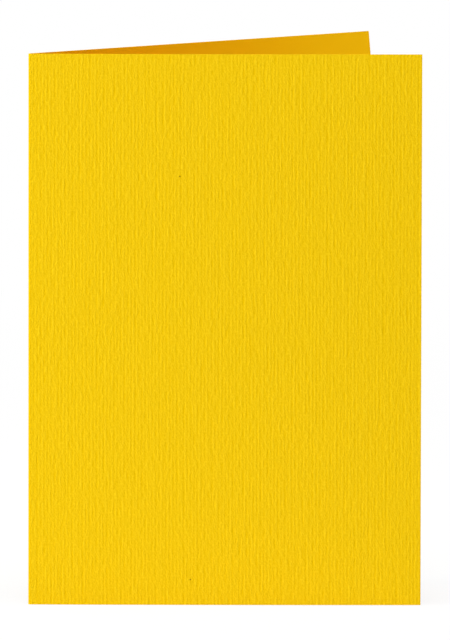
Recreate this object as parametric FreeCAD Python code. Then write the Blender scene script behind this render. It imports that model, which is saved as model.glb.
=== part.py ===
import FreeCAD, Part

import math
import os

"""Folded card: one oblong sheet of ribbed card, scored down its middle and folded once.

It stands open on its two lower edges. The fold is upright at -X. The front cover faces -Y, and the
back cover swings away from it towards +Y, a little wider at the top than at the foot. All sizes are
in millimetres, +Z is up, and the origin is the middle of the box round the card, on its underside.
"""

# The flat sheet, before it is folded
SHEET_LENGTH = 210.0  # across the fold, from cut edge to cut edge
SHEET_HEIGHT = 148.5  # along the fold
SCORE_FROM_EDGE = 105.0  # from the front cover's cut edge to the score line
THICKNESS = 0.30

# The crease
CREASE_RADIUS = 0.25  # inside the fold
BEAD_HEIGHT = 0.20  # how far the ridge raised by the score stands up inside the fold
BEAD_RADIUS = 0.13  # of that ridge's round crest

# How the covers stand
FOOT_ANGLE = 23.0  # between the covers at their lower edges, in degrees
TOP_ANGLE = 29.7  # between the covers at their upper edges, in degrees
OPENING_RATE = 2.1  # 1 opens evenly up the fold, and more keeps the opening for the upper part
BOW_RADIUS = 3300.0  # of the front cover's slight outward bow, at its outer face
TWIST_SECTIONS = 9  # level sections that the crease and the back cover are lofted through

# Sizes that follow from those above. Angles are measured about the crease's axis from +X, which
# is the line between the two ends of the front cover, and grow towards +Y.
OUTER_RADIUS = CREASE_RADIUS + THICKNESS
MIDDLE_RADIUS = CREASE_RADIUS + THICKNESS / 2
FRONT_RUN = SCORE_FROM_EDGE - math.radians(180 - TOP_ANGLE) * MIDDLE_RADIUS / 2
HALF_BOW = math.degrees(FRONT_RUN / (BOW_RADIUS - THICKNESS / 2)) / 2
FRONT_TANGENT = 270 - HALF_BOW  # where the crease runs into the front cover


def direction(degrees):
    """The level unit vector at this angle."""
    angle = math.radians(degrees)
    return FreeCAD.Vector(math.cos(angle), math.sin(angle), 0)


def arc(centre, radius, start, end):
    """The level arc about centre from one angle to another, by way of the angles between."""
    points = [centre + direction(a) * radius for a in (start, (start + end) / 2, end)]
    return Part.Arc(*points).toShape()


def line(start, end):
    return Part.LineSegment(start, end).toShape()


def outline(edges):
    """A closed wire of these edges in order, with a straight edge across each gap between two."""
    joined = []
    for edge, following in zip(edges, edges[1:] + edges[:1]):
        joined.append(edge)
        end, start = edge.Vertexes[-1].Point, following.Vertexes[0].Point
        if not end.isEqual(start, 1e-6):
            joined.append(line(end, start))
    return Part.Wire(joined)


def angle_between(side, base, opposite):
    """The angle between two sides of a triangle, in degrees, from its three lengths."""
    return math.degrees(math.acos((side**2 + base**2 - opposite**2) / (2 * side * base)))


def front_cover():
    """The front cover: a bowed strip from the crease to its cut edge, drawn out upwards."""
    centre = direction(FRONT_TANGENT - 180) * (BOW_RADIUS - OUTER_RADIUS)
    far_end = 270 + HALF_BOW
    outside = arc(centre, BOW_RADIUS, FRONT_TANGENT, far_end)
    inside = arc(centre, BOW_RADIUS - THICKNESS, far_end, FRONT_TANGENT)
    section = Part.Face(outline([outside, inside]))
    return section.extrude(FreeCAD.Vector(0, 0, SHEET_HEIGHT))


def crease_inside(axis, back_tangent):
    """The inner side of the crease, from the back cover round to the front: a hollow with a bead."""
    nose = (FRONT_TANGENT + back_tangent) / 2
    crest_offset = CREASE_RADIUS - BEAD_HEIGHT + BEAD_RADIUS
    crest = axis + direction(nose) * crest_offset
    root = angle_between(CREASE_RADIUS, crest_offset, BEAD_RADIUS)
    flank = angle_between(BEAD_RADIUS, crest_offset, CREASE_RADIUS)
    return [
        arc(axis, CREASE_RADIUS, back_tangent, nose - root),
        arc(crest, BEAD_RADIUS, nose + 180 + flank, nose + 180 - flank),
        arc(axis, CREASE_RADIUS, nose + root, FRONT_TANGENT),
    ]


def back_section(height):
    """The level outline of the crease and the back cover at this height."""
    axis = FreeCAD.Vector(0, 0, height)
    angle = FOOT_ANGLE + (TOP_ANGLE - FOOT_ANGLE) * (height / SHEET_HEIGHT) ** OPENING_RATE
    back_tangent = angle + 90
    bend = math.radians(FRONT_TANGENT - back_tangent)
    back_run = SHEET_LENGTH - FRONT_RUN - bend * MIDDLE_RADIUS
    outside = arc(axis, OUTER_RADIUS, FRONT_TANGENT, back_tangent)
    corners = [
        axis + direction(back_tangent) * r + direction(angle) * back_run
        for r in (OUTER_RADIUS, CREASE_RADIUS)
    ]
    return outline([outside, line(*corners), *crease_inside(axis, back_tangent)])


def crease_and_back():
    """The crease and the gently twisted back cover, lofted up through level sections."""
    heights = [SHEET_HEIGHT * i / (TWIST_SECTIONS - 1) for i in range(TWIST_SECTIONS)]
    return Part.makeLoft([back_section(h) for h in heights], True, False)


def folded_card():
    """The whole card, moved so that the box round it stands on the origin."""
    card = front_cover().fuse(crease_and_back()).removeSplitter()
    box = card.optimalBoundingBox(False)
    card.translate(FreeCAD.Vector(-box.Center.x, -box.Center.y, -box.ZMin))
    return card.Solids[0]


os.makedirs("parts", exist_ok=True)
folded_card().exportStep("parts/folded_card.step")
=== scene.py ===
import math
from collections import namedtuple

import bmesh
import bpy
from bpy.props import FloatProperty, FloatVectorProperty, IntProperty, PointerProperty
from bpy.types import Operator, Panel, PropertyGroup
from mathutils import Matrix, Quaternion, Vector, noise


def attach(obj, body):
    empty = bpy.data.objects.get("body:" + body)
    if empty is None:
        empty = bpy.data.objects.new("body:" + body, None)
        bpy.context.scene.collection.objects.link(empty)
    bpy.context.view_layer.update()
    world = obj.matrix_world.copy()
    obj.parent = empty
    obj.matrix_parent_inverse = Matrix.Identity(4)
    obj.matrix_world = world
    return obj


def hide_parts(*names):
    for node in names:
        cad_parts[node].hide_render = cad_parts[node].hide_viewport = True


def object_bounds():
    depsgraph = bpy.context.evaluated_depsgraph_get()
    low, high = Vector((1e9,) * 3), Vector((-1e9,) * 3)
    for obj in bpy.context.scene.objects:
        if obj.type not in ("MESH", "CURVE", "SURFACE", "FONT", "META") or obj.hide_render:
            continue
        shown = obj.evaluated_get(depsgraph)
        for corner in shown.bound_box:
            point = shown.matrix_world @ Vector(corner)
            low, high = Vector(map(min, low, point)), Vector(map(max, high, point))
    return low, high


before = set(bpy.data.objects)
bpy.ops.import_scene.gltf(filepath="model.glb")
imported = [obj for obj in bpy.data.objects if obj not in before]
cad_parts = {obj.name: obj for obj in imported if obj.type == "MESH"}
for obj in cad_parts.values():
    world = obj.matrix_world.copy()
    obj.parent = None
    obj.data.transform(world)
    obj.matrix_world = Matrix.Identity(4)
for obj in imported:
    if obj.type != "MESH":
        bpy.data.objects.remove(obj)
CAD_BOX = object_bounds()

bl_info = {
    "name": "Folded Card",
    "version": (1, 0, 0),
    "blender": (4, 5, 0),
    "location": "3D View > Sidebar > Folded Card",
    "description": "Makes a sheet of ribbed card, folded once and standing open, and a stage for it",
    "category": "Add Mesh",
}

MM = 0.001  # metres
NODE = "folded_card"
SHEET_MAP = "Sheet"  # the UV map that holds each point's place on the flat sheet, in metres
RELIEF = "Relief"  # the attribute that holds how proud the outer face stands, 1 at a rib's crest
WHITE = (1, 1, 1, 1)
MIX_SHARE, MIX_FIRST, MIX_SECOND, MIX_RESULT = 0, 6, 7, 2  # a Mix node's sockets when it mixes colours

# The marks pressed along the ribs: how wide and how long each is, and its share of the height that the
# texture gives its kind. The streaks are in the mesh, and the finer marks in the material.
Mark = namedtuple("Mark", "width length share")
LONG_STREAK = Mark(0.8 * MM, 25 * MM, 0.37)
STREAK = Mark(0.6 * MM, 6 * MM, 0.6)
STROKE = Mark(0.42 * MM, 2.6 * MM, 0.75)
DASH = Mark(0.36 * MM, 1.4 * MM, 0.5)
DAB = Mark(0.3 * MM, 0.55 * MM, 1.5)
TROUGH = 0.67 * MM  # from the ridge of a streak or a stroke to the trough beside it

# The ribs and the weave, in the mesh
FIRM_LENGTH = 7 * MM  # up a rib, over which it stays about as firmly pressed
FIRM_SHARE = 0.4  # of a rib's height, which its firmness adds or takes away
RIB_STEP = 3.7  # through the noise from one rib to the next, so that each has its own firmness
WEAVES = ((0.43, 1), (0.57, -1), (0.68, 1))  # slanting marks to a rib, and which way they lean
WEAVE_RISE = 4.65 * MM  # up the card from one slanting mark to the next
WAVER_WIDTH, WAVER_LENGTH = 12 * MM, 14 * MM  # of the patches in which the ribs stray together
CREASE_FADE = 1.0 * MM  # from the crease to where the texture has its full height
EDGE_FADE = 1.5 * MM  # from a cut edge to where the ribs stray in full
FIRM_LAYER, LONG_LAYER, STREAK_LAYER, WAVER_LAYER = 1, 5, 7, 9  # each has noise of its own

# The stock, in its materials
ROUGHNESS, SPECULAR = 0.9, 0.02  # matt and uncoated
TOOTH_SIZE, CLOUD_SIZE = 0.2 * MM, 9 * MM
STRAY_WIDTH, STRAY_LENGTH = 1.6 * MM, 3.0 * MM  # of the patches in which the strokes stray together
CREASED = (0.3 * MM, 0.8 * MM)  # from the score line, where the crease's own dye starts to fade and ends
CUT_TOOTH = 2  # times as deep in a cut edge as in a face
SPECKS = ((64.6 * MM, 115.65 * MM), (61.6 * MM, 6.9 * MM))  # stray fibres' places on the sheet
SPECK_FADE = (0.2, 0.7)  # shares of a speck's size, where it starts to fade and ends
SPECK_GRAIN, SPECK_RAGGED = 0.15 * MM, 0.5  # how fine its ragged outline is, and what share of its size

# How far the pulp's tooth and clouds carry a dye from its darker colour, at 0, to its paler one, at 1
HALFWAY = 0.5
RIBBED_TOOTH, RIBBED_CLOUDS = 0.3, 0.05
SMOOTH_TOOTH, SMOOTH_CLOUDS = 0.25, 0.3
CUT_CLOUDS = 0.3

# The mesh
RIB_COLUMNS = 4  # of faces to each rib
INNER_COLUMNS, INNER_ROWS = 8, 9  # of the outer face's, to each one of the inner face's
CUT_SNAP = 1e-7  # metres, within which a cut runs through a point that is there already
ARRIS_TURN = math.radians(45)  # the least turn between two faces that makes an arris to soften
SMOOTH_TURN = math.radians(20)  # the most turn between two faces that are shaded as one
SQUARE_ON = 0.99  # the least share of its normal that points in or out, on a face that isn't cut edge

# The stage. A lamp has the name of its power on the stage, its side in metres, where it stands in degrees,
# with azimuth 0 in front and 90 to the right, and how many metres it is from the middle of the view.
Lamp = namedtuple("Lamp", "name power size azimuth elevation distance")
LAMPS = (Lamp("Key Lamp", "key_power", 0.9, -75, 15, 1.7),
         Lamp("Overhead Lamp", "overhead_power", 0.8, 0, 75, 1.2),
         Lamp("Side Lamp", "side_power", 0.5, 95, 20, 1.4),
         Lamp("Back Lamp", "back_power", 0.7, -150, 15, 1.5))
FLOOR_FADE = (0.15, 0.6)  # metres from the floor's middle, where it starts to turn plain white and ends


class CardSheet(PropertyGroup):
    """The sheet, and how it is scored, folded and stood up."""

    length: FloatProperty(
        name="Sheet Length", description="Across the fold, from cut edge to cut edge",
        default=210 * MM, unit="LENGTH")
    height: FloatProperty(
        name="Sheet Height", description="Along the fold",
        default=CAD_BOX[1].z - CAD_BOX[0].z, unit="LENGTH")
    score: FloatProperty(
        name="Score", description="From the front cover's cut edge to the score line",
        default=105 * MM, unit="LENGTH")
    thickness: FloatProperty(
        name="Thickness", description="Of the card", default=0.30 * MM, precision=5, unit="LENGTH")
    crease_radius: FloatProperty(
        name="Crease Radius", description="Inside the fold",
        default=0.25 * MM, precision=5, unit="LENGTH")
    bead_height: FloatProperty(
        name="Bead Height", description="Of the ridge that the score raises inside the fold",
        default=0.20 * MM, precision=5, unit="LENGTH")
    bead_radius: FloatProperty(
        name="Bead Radius", description="Of that ridge's round crest",
        default=0.13 * MM, precision=5, unit="LENGTH")
    foot_angle: FloatProperty(
        name="Foot Angle", description="Between the covers at their lower edges",
        default=math.radians(23.0), subtype="ANGLE")
    top_angle: FloatProperty(
        name="Top Angle", description="Between the covers at their upper edges",
        default=math.radians(29.7), subtype="ANGLE")
    opening_rate: FloatProperty(
        name="Opening Rate", description="1 opens evenly up the fold, and more keeps it for the top",
        default=2.1)
    bow_radius: FloatProperty(
        name="Bow Radius", description="Of the front cover's slight outward bow",
        default=3300 * MM, unit="LENGTH")
    edge_wear: FloatProperty(
        name="Edge Wear", description="Width of the softened arris along every cut edge",
        default=0.04 * MM, precision=5, unit="LENGTH")


class CardTexture(PropertyGroup):
    """The texture pressed into the outer face, and the fineness of its mesh."""

    ribs: IntProperty(
        name="Ribs", description="Side by side across each cover", default=112)
    rows: IntProperty(
        name="Rows", description="Of faces up the ribs", default=90)
    crease_columns: IntProperty(
        name="Crease Columns", description="Of faces round the fold", default=16)
    rib_height: FloatProperty(
        name="Rib Height", description="From trough to crest",
        default=0.032 * MM, precision=6, unit="LENGTH")
    rib_waver: FloatProperty(
        name="Rib Waver", description="How far a rib strays to either side",
        default=0.05 * MM, precision=6, unit="LENGTH")
    streak_height: FloatProperty(
        name="Streak Height", description="Of the long and the middling streaks up the card",
        default=0.020 * MM, precision=6, unit="LENGTH")
    weave_height: FloatProperty(
        name="Weave Height", description="Of the slanting marks that the press felt's weave leaves",
        default=0.020 * MM, precision=6, unit="LENGTH")
    stroke_height: FloatProperty(
        name="Stroke Height", description="Of the short strokes along the ribs",
        default=0.060 * MM, precision=6, unit="LENGTH")
    stroke_stray: FloatProperty(
        name="Stroke Stray", description="Width of the band within which a short stroke strays",
        default=0.5 * MM, precision=5, unit="LENGTH")
    tooth_height: FloatProperty(
        name="Tooth Height", description="Of the fine grain of the pulp",
        default=0.004 * MM, precision=6, unit="LENGTH")
    # The relief's and the strokes' tints carry the colour partly as the dye's own tone and partly as
    # painted highlight on the crests and painted shade in the troughs.
    relief_tone_and_shade: FloatProperty(
        name="Relief Tint", description="How far the mesh's relief carries the dye to its crest colour",
        default=0.22)
    stroke_tone_and_shade: FloatProperty(
        name="Stroke Tint", description="How far the short strokes carry the dye to its crest colour",
        default=0.6)
    # A painted highlight on the strongest strokes.
    stroke_highlight: FloatProperty(
        name="Sparkle", description="How much paler the strongest strokes are than the rest",
        default=0.4)
    # The reach of the painted shade that deepens the inner face's colour towards the fold.
    fold_shade_reach: FloatProperty(
        name="Deep Reach", description="From the fold to where the inner face is palest",
        default=90 * MM, unit="LENGTH")
    speck_size: FloatProperty(
        name="Speck Size", description="Of a stray dark fibre", default=0.42 * MM, precision=5,
        unit="LENGTH")


class CardColours(PropertyGroup):
    """The stock's colours: its dye, with painted highlight and shade of the ribs in the crest and trough
    colours, painted shade in the cut edge, and painted shade that deepens the inner face towards the fold.
    """

    # The crest and trough colours are partly the dye's own tone and partly painted highlight and shade of
    # the ribs; the crest's faint blue is a painted sheen.
    crest: FloatVectorProperty(
        name="Crest", description="The dye where the stock stands proud", subtype="COLOR",
        default=(0.945, 0.636, 0.0095), min=0, max=1)
    trough: FloatVectorProperty(
        name="Trough", description="The dye where the stock lies low", subtype="COLOR",
        default=(0.825, 0.509, 0.0), min=0, max=1)
    creased: FloatVectorProperty(
        name="Creased", description="The dye where the score and the fold press the stock",
        subtype="COLOR", default=(0.75, 0.49, 0.001), min=0, max=1)
    # The inner colours are deeper than the outer dye, partly as a real difference of the smooth side and
    # partly as painted shade between the covers; towards the fold they deepen further as painted shade.
    inner_pale: FloatVectorProperty(
        name="Inner Pale", description="The smooth inner face near its cut edge", subtype="COLOR",
        default=(0.864, 0.483, 0.003), min=0, max=1)
    inner_fold_shade: FloatVectorProperty(
        name="Inner Deep", description="The smooth inner face in the fold", subtype="COLOR",
        default=(0.889, 0.413, 0.0015), min=0, max=1)
    # The cut colour is darker than the faces' dye, a painted shade of the rough edge, with its fibres less
    # saturated.
    cut: FloatVectorProperty(
        name="Cut", description="The paler fibres in the cut edges", subtype="COLOR",
        default=(0.76, 0.50, 0.010), min=0, max=1)
    speck: FloatVectorProperty(
        name="Speck", description="A stray dark fibre", subtype="COLOR",
        default=(0.36, 0.15, 0.001), min=0, max=1)


class CardStage(PropertyGroup):
    """The floor, the lamps and the camera."""

    floor_size: FloatProperty(
        name="Floor Size", description="Along each side", default=6.0, unit="LENGTH")
    floor_colour: FloatVectorProperty(
        name="Floor Colour", description="As the lamps light it", subtype="COLOR",
        default=(0.8, 0.8, 0.8), min=0, max=1)
    floor_white: FloatProperty(
        name="Floor White", description="Share of plain white in the floor as it is seen near the card",
        default=0.85, min=0, max=1, subtype="FACTOR")
    key_power: FloatProperty(
        name="Key Lamp", description="The soft lamp far to the left, which rakes over the ribs",
        default=25.7, unit="POWER")
    overhead_power: FloatProperty(
        name="Overhead Lamp", description="The soft lamp above and a little in front",
        default=14.3, unit="POWER")
    side_power: FloatProperty(
        name="Side Lamp", description="The soft lamp to the right, which shines in between the covers",
        default=6.5, unit="POWER")
    back_power: FloatProperty(
        name="Back Lamp", description="The soft lamp behind and to the left",
        default=8.6, unit="POWER")
    fill: FloatProperty(
        name="Fill", description="Strength of the even light from all round", default=0.14)
    distance: FloatProperty(
        name="Camera Distance", description="From the middle of the view", default=4.5, unit="LENGTH")
    aim: FloatVectorProperty(
        name="Aim", description="The middle of the view", subtype="XYZ",
        default=(0.03 * MM, 0, 73.38 * MM), unit="LENGTH")
    pitch: FloatProperty(
        name="Pitch", description="How steeply the camera looks down",
        default=math.radians(7.81), subtype="ANGLE")
    roll: FloatProperty(
        name="Roll", description="Of the camera about its own line of sight",
        default=math.radians(0.105), subtype="ANGLE")
    lens: FloatProperty(
        name="Lens", description="Focal length, in millimetres", default=942.0, max=5000)


class Wire:
    """A socket in a node tree. Arithmetic on wires adds the Math nodes that work it out."""

    def __init__(self, tree, socket=None):
        self.tree, self.socket = tree, socket

    def node(self, kind, settings=(), inputs=(), output=0):
        """Adds a node: its settings first, and then the value of each input or the wire into it."""
        node = self.tree.nodes.new(kind)
        for name, value in dict(settings).items():
            setattr(node, name, value)
        for name, value in dict(inputs).items():
            if isinstance(value, Wire):
                self.tree.links.new(value.socket, node.inputs[name])
            else:
                node.inputs[name].default_value = value
        return Wire(self.tree, node.outputs[output] if node.outputs else None)

    def math(self, operation, *values):
        """One Math node on this wire and these values or wires."""
        return self.node("ShaderNodeMath", {"operation": operation}, enumerate((self, *values)))

    def __add__(self, other):
        return self.math("ADD", other)

    __radd__ = __add__

    def __sub__(self, other):
        return self.math("SUBTRACT", other)

    def __rsub__(self, other):
        return (self * -1) + other

    def __mul__(self, other):
        return self.math("MULTIPLY", other)

    __rmul__ = __mul__


def material(name):
    """A new material with an empty tree, and a wire to start its nodes from."""
    made = bpy.data.materials.new(name)
    made.use_nodes = True
    made.node_tree.nodes.clear()
    return made, Wire(made.node_tree)


def rgba(colour):
    """A colour as a socket takes it, with nothing seen through it."""
    return (*colour, 1.0)


def mixed(share, first, second):
    """The colour this share of the way from the first colour to the second."""
    return share.node("ShaderNodeMix", {"data_type": "RGBA"},
                      {MIX_SHARE: share, MIX_FIRST: first, MIX_SECOND: second}, MIX_RESULT)


def eased(value, ends, first, last):
    """The first number where the value is below both ends, the last above both, and eased between."""
    return value.node("ShaderNodeMapRange", {"interpolation_type": "SMOOTHSTEP"}, {
        "Value": value, "From Min": ends[0], "From Max": ends[1], "To Min": first, "To Max": last})


def axis_value(vector, index):
    """One of the three numbers of a vector: 0 is its X, 1 its Y and 2 its Z."""
    return vector.node("ShaderNodeSeparateXYZ", {}, {0: vector}, index)


def grain(where, width, length, detail=0.0):
    """Noise about zero, up to about half each way, in strokes of this width and length."""
    scaled = where.node("ShaderNodeMapping", {},
                        {"Vector": where, "Scale": (1 / width, 1 / length, 1 / width)})
    made = where.node("ShaderNodeTexNoise", {"noise_dimensions": "3D"},
                      {"Vector": scaled, "Scale": 1.0, "Detail": detail})
    return made - 0.5


def finished(made, start, colour, height):
    """The matt, uncoated stock in this colour, with this fine relief in metres."""
    bumped = start.node("ShaderNodeBump", {}, {"Strength": 1.0, "Distance": 1.0, "Height": height})
    shaded = start.node("ShaderNodeBsdfPrincipled", {}, {
        "Base Color": colour, "Roughness": ROUGHNESS, "Specular IOR Level": SPECULAR, "Normal": bumped})
    start.node("ShaderNodeOutputMaterial", {}, {"Surface": shaded})
    return made


def pulp(start):
    """The fine tooth and the broad clouds of the pulp, each about zero."""
    body = start.node("ShaderNodeTexCoord", {}, {}, "Object")
    return (grain(body, TOOTH_SIZE, TOOTH_SIZE, detail=1.0),
            grain(body, CLOUD_SIZE, CLOUD_SIZE, detail=2.0))


def rib_strokes(sheet, band):
    """The short strokes along the ribs, each straying sideways within a band this wide."""
    across = axis_value(sheet, 0) + grain(sheet, STRAY_WIDTH, STRAY_LENGTH) * band
    up = axis_value(sheet, 1)
    place = sheet.node("ShaderNodeCombineXYZ", {}, {0: across, 1: up})
    beside = sheet.node("ShaderNodeCombineXYZ", {}, {0: across + TROUGH, 1: up})
    strokes = grain(place, STROKE.width, STROKE.length) - grain(beside, STROKE.width, STROKE.length)
    dashes = grain(place, DASH.width, DASH.length)
    dabs = grain(place, DAB.width, DAB.length)
    return strokes * STROKE.share + dashes * DASH.share + dabs * DAB.share


def speck(sheet, place, size):
    """1 on a stray dark fibre this far along the sheet and up it, and 0 away from it."""
    gap = sheet.node("ShaderNodeVectorMath", {"operation": "DISTANCE"},
                     {0: sheet, 1: (*place, 0)}, "Value")
    ragged = grain(sheet, SPECK_GRAIN, SPECK_GRAIN) * (SPECK_RAGGED * size)
    return eased(gap + ragged, [share * size for share in SPECK_FADE], 1.0, 0.0)


def from_score(sheet, score):
    """How far along the sheet it is to the score line."""
    return (axis_value(sheet, 0) - score).math("ABSOLUTE")


def ribbed_face(card, texture, colours):
    """The outer face: its colour is paler on the crests and darker in the troughs, partly the dye's own
    tone and partly painted highlight and shade of the ribs, the strongest strokes carry a painted
    highlight, and a stray fibre shows here and there.
    """
    made, start = material("Ribbed Face")
    sheet = start.node("ShaderNodeUVMap", {"uv_map": SHEET_MAP})
    relief = start.node("ShaderNodeAttribute", {"attribute_name": RELIEF}, {}, "Fac")
    strokes = rib_strokes(sheet, texture.stroke_stray)
    tooth, clouds = pulp(start)
    # Painted highlight and shade: the relief and the strokes carry the colour towards the crest colour,
    # partly as the dye's own tone, and the squared strokes add a painted highlight.
    crest_tone_and_shade = (relief * texture.relief_tone_and_shade + strokes * texture.stroke_tone_and_shade
              + strokes * strokes * texture.stroke_highlight)
    share = crest_tone_and_shade + tooth * RIBBED_TOOTH + clouds * RIBBED_CLOUDS + HALFWAY
    colour = mixed(share, rgba(colours.trough), rgba(colours.crest))
    on_crease = eased(from_score(sheet, card.score), CREASED, 1.0, 0.0)
    colour = mixed(on_crease, colour, rgba(colours.creased))
    for place in SPECKS:
        colour = mixed(speck(sheet, place, texture.speck_size), colour, rgba(colours.speck))
    height = strokes * texture.stroke_height + tooth * texture.tooth_height
    return finished(made, start, colour, height)


def smooth_face(card, texture, colours):
    """The inner face, which has only the pulp's own tooth, and whose colour deepens towards the fold as
    painted shade.
    """
    made, start = material("Smooth Face")
    sheet = start.node("ShaderNodeUVMap", {"uv_map": SHEET_MAP})
    tooth, clouds = pulp(start)
    # Painted shade: the colour deepens from the pale inner colour towards the fold.
    paler = from_score(sheet, card.score) * (1 / texture.fold_shade_reach)
    share = paler + tooth * SMOOTH_TOOTH + clouds * SMOOTH_CLOUDS
    colour = mixed(share, rgba(colours.inner_fold_shade), rgba(colours.inner_pale))
    return finished(made, start, colour, tooth * texture.tooth_height)


def cut_edge(texture, colours):
    """The cut through the stock, where the fibres stand out paler and less saturated, and the whole edge is
    darker than the faces, as painted shade of its rough surface.
    """
    made, start = material("Cut Edge")
    tooth, clouds = pulp(start)
    # Painted shade: the cut colour makes the edge darker than the faces.
    colour = mixed(tooth + clouds * CUT_CLOUDS + HALFWAY, rgba(colours.trough), rgba(colours.cut))
    return finished(made, start, colour, tooth * (CUT_TOOTH * texture.tooth_height))


def turned(angle):
    """The level unit vector at this angle from +X."""
    return Vector((math.cos(angle), math.sin(angle), 0))


def corner_angle(side, base, opposite):
    """The angle between two sides of a triangle, from its three lengths."""
    return math.acos((side**2 + base**2 - opposite**2) / (2 * side * base))


class Fold:
    """Where each point of the flat sheet comes to lie once the sheet is folded and stood up."""

    def __init__(self, sheet, low_corner, high_corner):
        self.sheet = sheet
        self.outer = sheet.crease_radius + sheet.thickness
        self.middle = sheet.crease_radius + sheet.thickness / 2
        self.front_run = sheet.score - (math.pi - sheet.top_angle) * self.middle / 2
        self.bow_middle = sheet.bow_radius - sheet.thickness / 2
        half_bow = self.front_run / self.bow_middle / 2
        self.front_tangent = 1.5 * math.pi - half_bow
        foot_bend = self.front_tangent - self.opening(0) - math.pi / 2
        self.back_start = self.front_run + self.middle * foot_bend  # past the crease at every height
        top_bend = self.front_tangent - sheet.top_angle - math.pi / 2
        back_run = sheet.length - self.front_run - top_bend * self.middle
        back_tangent = sheet.top_angle + math.pi / 2
        back_reach = turned(sheet.top_angle) * back_run + turned(back_tangent) * self.outer
        self.axis = Vector((low_corner.x + self.outer, high_corner.y - back_reach.y, low_corner.z))
        bow_offset = turned(self.front_tangent - math.pi) * (sheet.bow_radius - self.outer)
        self.bow_centre = self.axis + bow_offset
        self.crest_offset = sheet.crease_radius - sheet.bead_height + sheet.bead_radius
        self.root = corner_angle(sheet.crease_radius, self.crest_offset, sheet.bead_radius)
        self.flank = corner_angle(sheet.bead_radius, self.crest_offset, sheet.crease_radius)

    def opening(self, height):
        """The angle between the covers at this height."""
        share = max(height / self.sheet.height, 0) ** self.sheet.opening_rate
        return self.sheet.foot_angle + (self.sheet.top_angle - self.sheet.foot_angle) * share

    def crease_inside(self, share, bend):
        """The inner side of the crease, this share of the way round it: a hollow with a bead."""
        sheet = self.sheet
        nose = self.front_tangent - bend / 2
        bead_run = self.flank * sheet.bead_radius
        hollow_run = (bend / 2 - self.root) * sheet.crease_radius
        run = (2 * share - 1) * (bead_run + hollow_run)
        if abs(run) < bead_run:
            on_bead = turned(nose + math.pi + run / sheet.bead_radius) * sheet.bead_radius
            return turned(nose) * self.crest_offset + on_bead
        turn = self.root + (abs(run) - bead_run) / sheet.crease_radius
        return turned(nose - math.copysign(turn, run)) * sheet.crease_radius

    def place(self, along, height, depth):
        """The folded place of a point this far along the sheet, up it, and in from its outer face."""
        sheet = self.sheet
        up = Vector((0, 0, height))
        angle = self.opening(height)
        back_tangent = angle + math.pi / 2
        bend = self.front_tangent - back_tangent
        past = along - self.front_run
        if past <= 0:
            turn = self.front_tangent - past / self.bow_middle
            return self.bow_centre + turned(turn) * (sheet.bow_radius - depth) + up
        if past >= bend * self.middle:
            run = past - bend * self.middle
            return self.axis + turned(back_tangent) * (self.outer - depth) + turned(angle) * run + up
        share = past / (bend * self.middle)
        outside = turned(self.front_tangent - bend * share) * self.outer
        inside = self.crease_inside(share, bend)
        return self.axis + outside.lerp(inside, depth / sheet.thickness) + up


def column_lines(sheet, texture, fold):
    """Where the mesh's upright lines cross the sheet. They lie closest round the crease."""
    cover_columns = RIB_COLUMNS * texture.ribs
    runs = [(0, fold.front_run, cover_columns),
            (fold.front_run, fold.back_start, texture.crease_columns),
            (fold.back_start, sheet.length, cover_columns)]
    lines = [start + (end - start) * i / count for start, end, count in runs for i in range(count)]
    return lines + [sheet.length]


def uneven(across, up, layer):
    """Noise about zero, with a pattern of its own in each layer."""
    return noise.noise(Vector((across, up, layer)))


def ridges(along, height, mark, layer):
    """Noise in ridges as wide and as long as the mark, with a trough beside each."""
    across, up = along / mark.width, height / mark.length
    return uneven(across, up, layer) - uneven(across + TROUGH / mark.width, up, layer)


def press(sheet, texture, fold, along, height):
    """How far the outer face stands proud, and strays sideways, at this place on the sheet."""
    if along <= fold.front_run:
        ribs = (fold.front_run - along) / fold.front_run * texture.ribs
    elif along >= fold.back_start:
        ribs = (along - fold.back_start) / (sheet.length - fold.back_start) * texture.ribs
    else:
        return 0.0, 0.0
    turn = 2 * math.pi
    firm = uneven(round(ribs + 0.5) * RIB_STEP, height / FIRM_LENGTH, FIRM_LAYER)
    comb = -math.cos(turn * ribs) * (1 + FIRM_SHARE * firm)
    rise = height / WEAVE_RISE
    weave = sum(math.cos(turn * (marks * ribs - lean * rise)) for marks, lean in WEAVES) / 2
    long_streaks = ridges(along, height, LONG_STREAK, LONG_LAYER)
    streaks = ridges(along, height, STREAK, STREAK_LAYER)
    stray = uneven(along / WAVER_WIDTH, height / WAVER_LENGTH, WAVER_LAYER)
    off_crease = min(abs(along - fold.front_run), abs(along - fold.back_start), CREASE_FADE) / CREASE_FADE
    off_edge = min(along, sheet.length - along, EDGE_FADE) / EDGE_FADE
    streaked = long_streaks * LONG_STREAK.share + streaks * STREAK.share
    proud = (comb * texture.rib_height / 2 + weave * texture.weave_height / 2
             + streaked * texture.streak_height) * off_crease
    return proud, stray * texture.rib_waver * off_edge * off_crease


RIBBED, SMOOTH, CUT = range(3)  # the order of the sheet's three materials


def sliced(bm, geom, place, facing):
    """Cuts this part of the mesh along the plane through this place, and returns what it has become."""
    cut = bmesh.ops.bisect_plane(bm, geom=geom, dist=CUT_SNAP, plane_co=place, plane_no=facing)
    return cut["geom"]


def settle_order(bm):
    """Puts the mesh's points, edges and faces in order of place, since the operators' own order varies."""
    def place(part):
        corners = [part] if isinstance(part, bmesh.types.BMVert) else part.verts
        return sorted(v.co[:] for v in corners)

    for parts in (bm.verts, bm.edges, bm.faces):
        rank = {part: i for i, part in enumerate(sorted(parts, key=place))}
        parts.sort(key=rank.get)


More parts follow.
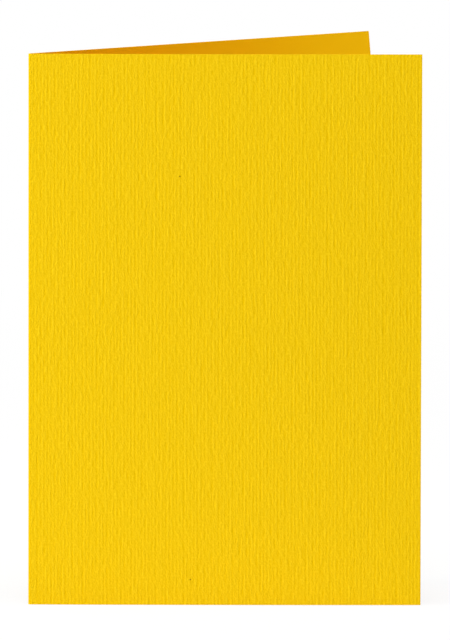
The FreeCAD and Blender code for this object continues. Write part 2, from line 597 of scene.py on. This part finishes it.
def flat_sheet(sheet, texture, fold):
    """The sheet before it is folded: x runs along it, y up it and z in from its outer face."""
    bm = bmesh.new()
    lines = column_lines(sheet, texture, fold)
    last = len(lines) - 1
    bmesh.ops.create_grid(bm, x_segments=last, y_segments=texture.rows, size=1)
    for v in bm.verts:
        v.co = (lines[round((v.co.x + 1) / 2 * last)], (v.co.y + 1) / 2 * sheet.height, 0)
    bmesh.ops.reverse_faces(bm, faces=bm.faces)

    rim = [e for e in bm.edges if e.is_boundary]
    wall = bmesh.ops.extrude_edge_only(bm, edges=rim)["geom"]
    bmesh.ops.translate(bm, verts=[g for g in wall if isinstance(g, bmesh.types.BMVert)],
                        vec=(0, 0, sheet.thickness))
    inner_rim = [e for e in bm.edges if e.is_boundary]
    inner = bmesh.ops.contextual_create(bm, geom=inner_rim)["faces"]

    crease_start = RIB_COLUMNS * texture.ribs
    crease = range(crease_start, crease_start + texture.crease_columns + 1)
    geom = [*inner, *inner[0].edges, *inner[0].verts]
    for i in range(1, last):
        if i % INNER_COLUMNS == 0 or i in crease:
            geom = sliced(bm, geom, (lines[i], 0, 0), (1, 0, 0))
    for row in range(INNER_ROWS, texture.rows, INNER_ROWS):
        geom = sliced(bm, geom, (0, sheet.height * row / texture.rows, 0), (0, 1, 0))

    bm.normal_update()
    arrises = [e for e in bm.edges if e.calc_face_angle(0) > ARRIS_TURN]
    bmesh.ops.bevel(bm, geom=arrises, offset=sheet.edge_wear, offset_type="OFFSET", segments=2,
                    profile=0.5, affect="EDGES", material=-1, clamp_overlap=False)
    bmesh.ops.triangulate(bm, faces=[f for f in bm.faces if len(f.verts) > 4], ngon_method="BEAUTY")
    bmesh.ops.recalc_face_normals(bm, faces=bm.faces)
    bm.normal_update()
    for e in bm.edges:
        e.smooth = e.calc_face_angle(0) < SMOOTH_TURN
    for f in bm.faces:
        f.smooth = True
        if abs(f.normal.z) <= SQUARE_ON:
            f.material_index = CUT
        else:
            f.material_index = RIBBED if f.normal.z < 0 else SMOOTH
    settle_order(bm)
    return bm


def folded_card(sheet, texture, colours):
    """The card: a flat sheet with its pressed texture, laid into its folded place."""
    fold = Fold(sheet, *CAD_BOX)
    bm = flat_sheet(sheet, texture, fold)
    relief = bm.verts.layers.float.new(RELIEF)
    pressed = {v for f in bm.faces if f.material_index == RIBBED for v in f.verts}
    for v in pressed:
        proud, stray = press(sheet, texture, fold, v.co.x, v.co.y)
        v[relief] = proud / (texture.rib_height / 2)
        v.co.x += stray
        v.co.z -= proud
    sheet_map = bm.loops.layers.uv.new(SHEET_MAP)
    for f in bm.faces:
        for loop in f.loops:
            loop[sheet_map].uv = loop.vert.co.xy
    for v in bm.verts:
        v.co = fold.place(*v.co)
    mesh = bpy.data.meshes.new("ribbed_card")
    bm.to_mesh(mesh)
    bm.free()
    for finish in (ribbed_face(sheet, texture, colours), smooth_face(sheet, texture, colours),
                   cut_edge(texture, colours)):
        mesh.materials.append(finish)
    card = bpy.data.objects.new("ribbed_card", mesh)
    bpy.context.scene.collection.objects.link(card)
    return card


class OBJECT_OT_folded_card(Operator):
    """Make the folded card in place of its plain model"""

    bl_idname = "object.folded_card"
    bl_label = "Folded Card"
    bl_options = {"REGISTER", "UNDO"}

    def execute(self, context):
        scene = context.scene
        card = folded_card(scene.card_sheet, scene.card_texture, scene.card_colours)
        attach(card, "root")
        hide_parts(NODE)
        return {"FINISHED"}


def seen_directly(start):
    """1 for what the camera sees, by itself or in something glossy or clear, and 0 for lighting."""
    rays = [start.node("ShaderNodeLightPath", {}, {}, ray)
            for ray in ("Is Camera Ray", "Is Glossy Ray", "Is Transmission Ray")]
    return rays[0].math("MAXIMUM", rays[1]).math("MAXIMUM", rays[2])


def floor_finish(stage):
    """Pale and matt under the lamps, and part plain white where it is seen, which keeps the shadow."""
    made, start = material("Floor")
    lit = start.node("ShaderNodeBsdfDiffuse", {}, {"Color": rgba(stage.floor_colour)})
    white = start.node("ShaderNodeEmission", {}, {"Color": WHITE, "Strength": 1.0})
    body = start.node("ShaderNodeTexCoord", {}, {}, "Object")
    away = start.node("ShaderNodeVectorMath", {"operation": "LENGTH"}, {0: body}, "Value")
    share = seen_directly(start) * eased(away, FLOOR_FADE, stage.floor_white, 1.0)
    surface = start.node("ShaderNodeMixShader", {}, {0: share, 1: lit, 2: white})
    start.node("ShaderNodeOutputMaterial", {}, {"Surface": surface})
    return made


def floor_sheet(stage):
    """The floor, a plain square under the card."""
    bm = bmesh.new()
    bmesh.ops.create_grid(bm, x_segments=1, y_segments=1, size=stage.floor_size / 2)
    mesh = bpy.data.meshes.new("floor")
    bm.to_mesh(mesh)
    bm.free()
    mesh.materials.append(floor_finish(stage))
    made = bpy.data.objects.new("floor", mesh)
    bpy.context.scene.collection.objects.link(made)
    return made


def stand(name, data, place, sight, roll=0.0):
    """Stands a lamp or a camera in this place, looking this way."""
    made = bpy.data.objects.new(name, data)
    made.location = place
    made.rotation_mode = "QUATERNION"
    made.rotation_quaternion = sight.to_track_quat("-Z", "Y") @ Quaternion((0, 0, 1), roll)
    bpy.context.scene.collection.objects.link(made)
    return made


def lamp(spot, stage):
    """A square soft lamp that faces the middle of the view."""
    data = bpy.data.lights.new(spot.name, "AREA")
    data.energy = getattr(stage, spot.power)
    data.size = spot.size
    turn, rise = math.radians(spot.azimuth), math.radians(spot.elevation)
    away = Vector((math.sin(turn) * math.cos(rise), -math.cos(turn) * math.cos(rise), math.sin(rise)))
    stand(spot.name, data, Vector(stage.aim) + away * spot.distance, -away)


def surroundings(stage):
    """Even light from all round, in place of which the camera sees plain white."""
    world = bpy.data.worlds.new("Surroundings")
    world.use_nodes = True
    world.node_tree.nodes.clear()
    start = Wire(world.node_tree)
    light = start.node("ShaderNodeBackground", {}, {"Color": WHITE, "Strength": stage.fill})
    white = start.node("ShaderNodeBackground", {}, {"Color": WHITE, "Strength": 1.0})
    seen = start.node("ShaderNodeMixShader", {}, {0: seen_directly(start), 1: light, 2: white})
    start.node("ShaderNodeOutputWorld", {}, {"Surface": seen})
    bpy.context.scene.world = world


def camera(stage):
    """A camera straight in front of the card, looking a little down on it."""
    data = bpy.data.cameras.new("Camera")
    data.lens = stage.lens
    sight = Vector((0, math.cos(stage.pitch), -math.sin(stage.pitch)))
    place = Vector(stage.aim) - sight * stage.distance
    bpy.context.scene.camera = stand("Camera", data, place, sight, stage.roll)


class SCENE_OT_card_stage(Operator):
    """Make the floor, the lamps and the camera"""

    bl_idname = "scene.card_stage"
    bl_label = "Stage"
    bl_options = {"REGISTER", "UNDO"}

    def execute(self, context):
        stage = context.scene.card_stage
        floor = floor_sheet(stage)
        for spot in LAMPS:
            lamp(spot, stage)
        surroundings(stage)
        camera(stage)
        context.scene.view_settings.view_transform = "Standard"
        return {"FINISHED"}


class VIEW3D_PT_folded_card(Panel):
    """The card's and the stage's sizes, and the buttons that make them"""

    bl_label = "Folded Card"
    bl_space_type = "VIEW_3D"
    bl_region_type = "UI"
    bl_category = "Folded Card"

    def draw(self, context):
        for group, operator in (("card_sheet", None), ("card_texture", None),
                                ("card_colours", OBJECT_OT_folded_card),
                                ("card_stage", SCENE_OT_card_stage)):
            values = getattr(context.scene, group)
            column = self.layout.column(align=True)
            for name in values.bl_rna.properties.keys():
                if name not in ("rna_type", "name"):
                    column.prop(values, name)
            if operator:
                self.layout.operator(operator.bl_idname)


GROUPS = {"card_sheet": CardSheet, "card_texture": CardTexture,
          "card_colours": CardColours, "card_stage": CardStage}
CLASSES = (*GROUPS.values(), OBJECT_OT_folded_card, SCENE_OT_card_stage, VIEW3D_PT_folded_card)


def register():
    """Adds the classes, and keeps each group of values on the scene."""
    for each in CLASSES:
        bpy.utils.register_class(each)
    for name, group in GROUPS.items():
        setattr(bpy.types.Scene, name, PointerProperty(type=group))


def unregister():
    """Takes away all that register adds."""
    for name in GROUPS:
        delattr(bpy.types.Scene, name)
    for each in reversed(CLASSES):
        bpy.utils.unregister_class(each)


def main():
    """Makes the card and its stage."""
    register()
    bpy.ops.object.folded_card()
    bpy.ops.scene.card_stage()


if __name__ == "__main__":
    main()
